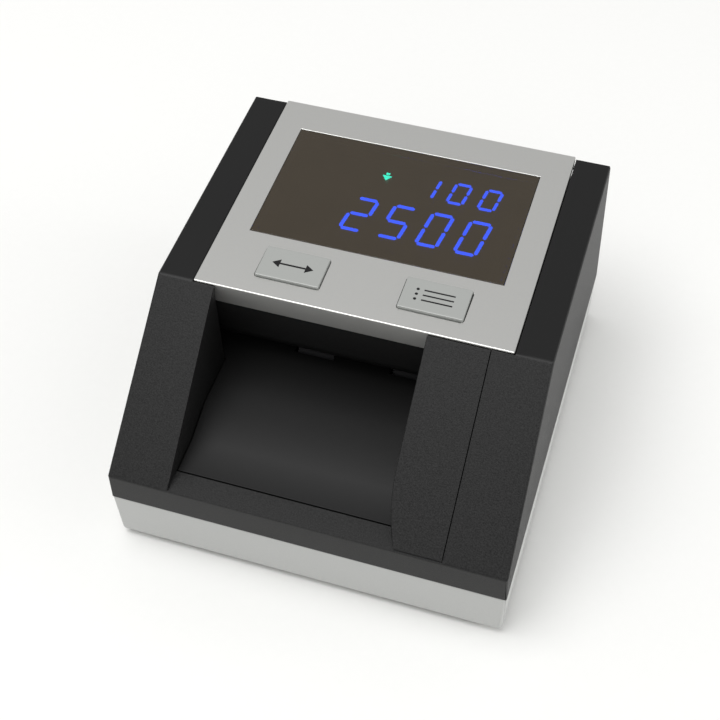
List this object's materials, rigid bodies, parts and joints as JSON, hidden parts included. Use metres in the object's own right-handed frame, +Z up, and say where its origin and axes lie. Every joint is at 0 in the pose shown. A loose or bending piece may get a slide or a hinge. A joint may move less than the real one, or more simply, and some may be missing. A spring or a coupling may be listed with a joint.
{
  "type": "counterfeit bill detector",
  "caption": "Counter-top banknote checker with a sloping note recess and guide, motor-driven feed rollers, a flip-up hatch with a tinted readout window, press buttons and a rear power switch.",
  "frame": {"origin": "centre of the overall box, on the surface that the feet stand on", "axes": "+X to the right seen from the front, +Y from the face to the back, +Z up"},
  "size_m": [0.1264, 0.137, 0.0743],
  "materials": {
    "grey_abs": "fine satin moulded grey",
    "silver_abs": "satin silver-grey paint",
    "button_abs": "satin silver-grey, a shade darker than the panel",
    "black_abs": "fine spark-textured black",
    "smoked_acrylic": "clear glossy smoked brown",
    "clear_acrylic": "clear gloss",
    "circuit_board": "green solder mask",
    "readout_epoxy": "dark satin",
    "black_rubber": "matte",
    "roller_rubber": "matte, ground",
    "steel": "turned bright",
    "zinc_plate": "zinc plated",
    "brass": "turned",
    "white_acetal": "moulded satin",
    "blue_led": "lit blue segments",
    "green_led": "lit green marks",
    "legend_ink": "printed dark grey marks"
  },
  "bodies": {
    "chassis": {"base_tray": "grey_abs", "upper_housing": "black_abs", "bill_table": "black_abs", "bill_guide": "black_abs", "foot_front_left": "black_rubber", "foot_front_right": "black_rubber", "foot_rear_left": "black_rubber", "foot_rear_right": "black_rubber", "case_screw_front_left": "zinc_plate", "case_screw_front_right": "zinc_plate", "case_screw_rear_left": "zinc_plate", "case_screw_rear_right": "zinc_plate", "main_board": "circuit_board", "feed_motor": "zinc_plate", "motor_bracket": "zinc_plate", "drive_belt": "black_rubber", "feed_bush_left": "brass", "feed_bush_right": "brass", "exit_bush_left": "brass", "exit_bush_right": "brass", "lower_sensor_window": "clear_acrylic", "lower_sensor_board": "circuit_board", "magnetic_head": "steel", "dc_jack": "readout_epoxy", "switch_housing": "readout_epoxy", "hinge_pin_left": "steel", "hinge_pin_right": "steel"},
    "motor_spindle": {"motor_pinion": "brass"},
    "feed_drive": {"feed_shaft": "steel", "feed_roller_left": "roller_rubber", "feed_roller_right": "roller_rubber", "drive_gear": "white_acetal", "feed_pulley": "white_acetal"},
    "exit_drive": {"exit_shaft": "steel", "exit_roller_left": "roller_rubber", "exit_roller_right": "roller_rubber", "exit_pulley": "white_acetal"},
    "hatch": {"face_panel": "silver_abs", "display_window": "smoked_acrylic", "hatch_frame": "black_abs", "display_board": "circuit_board", "readout": "readout_epoxy", "tact_switch_left": "readout_epoxy", "tact_switch_right": "readout_epoxy", "upper_sensor_board": "circuit_board", "upper_sensor_window": "clear_acrylic", "board_screw_left": "zinc_plate", "board_screw_right": "zinc_plate", "feed_idler_spring": "steel", "exit_idler_spring": "steel"},
    "feed_idler": {"feed_idler_axle": "steel", "feed_idler_roller_left": "roller_rubber", "feed_idler_roller_right": "roller_rubber"},
    "exit_idler": {"exit_idler_axle": "steel", "exit_idler_roller_left": "roller_rubber", "exit_idler_roller_right": "roller_rubber"},
    "left_button": {"clear_button": "button_abs"},
    "right_button": {"report_button": "button_abs"},
    "rocker": {"power_rocker": "black_abs"}
  },
  "joints": [
    {"name": "hatch_hinge", "type": "hinge", "parent": "chassis", "child": "hatch", "pos_m": [0, 0.06445, 0.0649], "axis": [-1, 0, 0], "range_deg": [0, 60]},
    {"name": "clear_press", "type": "slide", "parent": "hatch", "child": "left_button", "axis": [0, 0, -1], "range_m": [0, 0.0008], "stiffness_N_per_m": 1500, "springref_m": -0.0005},
    {"name": "report_press", "type": "slide", "parent": "hatch", "child": "right_button", "axis": [0, 0, -1], "range_m": [0, 0.0008], "stiffness_N_per_m": 1500, "springref_m": -0.0005},
    {"name": "power_rock", "type": "hinge", "parent": "chassis", "child": "rocker", "pos_m": [-0.04, 0.06445, 0.0124], "axis": [0, 0, -1], "range_deg": [0, 16]},
    {"name": "feed_spin", "type": "hinge", "parent": "chassis", "child": "feed_drive", "pos_m": [0, -0.00255, 0.03205], "axis": [1, 0, 0], "continuous": true},
    {"name": "exit_spin", "type": "hinge", "parent": "chassis", "child": "exit_drive", "pos_m": [0, 0.04545, 0.03205], "axis": [1, 0, 0], "continuous": true},
    {"name": "motor_spin", "type": "hinge", "parent": "chassis", "child": "motor_spindle", "pos_m": [0, 0.00351, 0.0151], "axis": [1, 0, 0], "continuous": true},
    {"name": "feed_idler_spin", "type": "hinge", "parent": "hatch", "child": "feed_idler", "pos_m": [0, -0.00255, 0.04335], "axis": [1, 0, 0], "continuous": true},
    {"name": "exit_idler_spin", "type": "hinge", "parent": "hatch", "child": "exit_idler", "pos_m": [0, 0.04545, 0.04335], "axis": [1, 0, 0], "continuous": true}
  ],
  "couplings": [
    {"joint": "exit_spin", "follows": "feed_spin", "ratio": 1},
    {"joint": "motor_spin", "follows": "feed_spin", "ratio": -3},
    {"joint": "feed_idler_spin", "follows": "feed_spin", "ratio": -1.2},
    {"joint": "exit_idler_spin", "follows": "feed_spin", "ratio": -1.2}
  ]
}
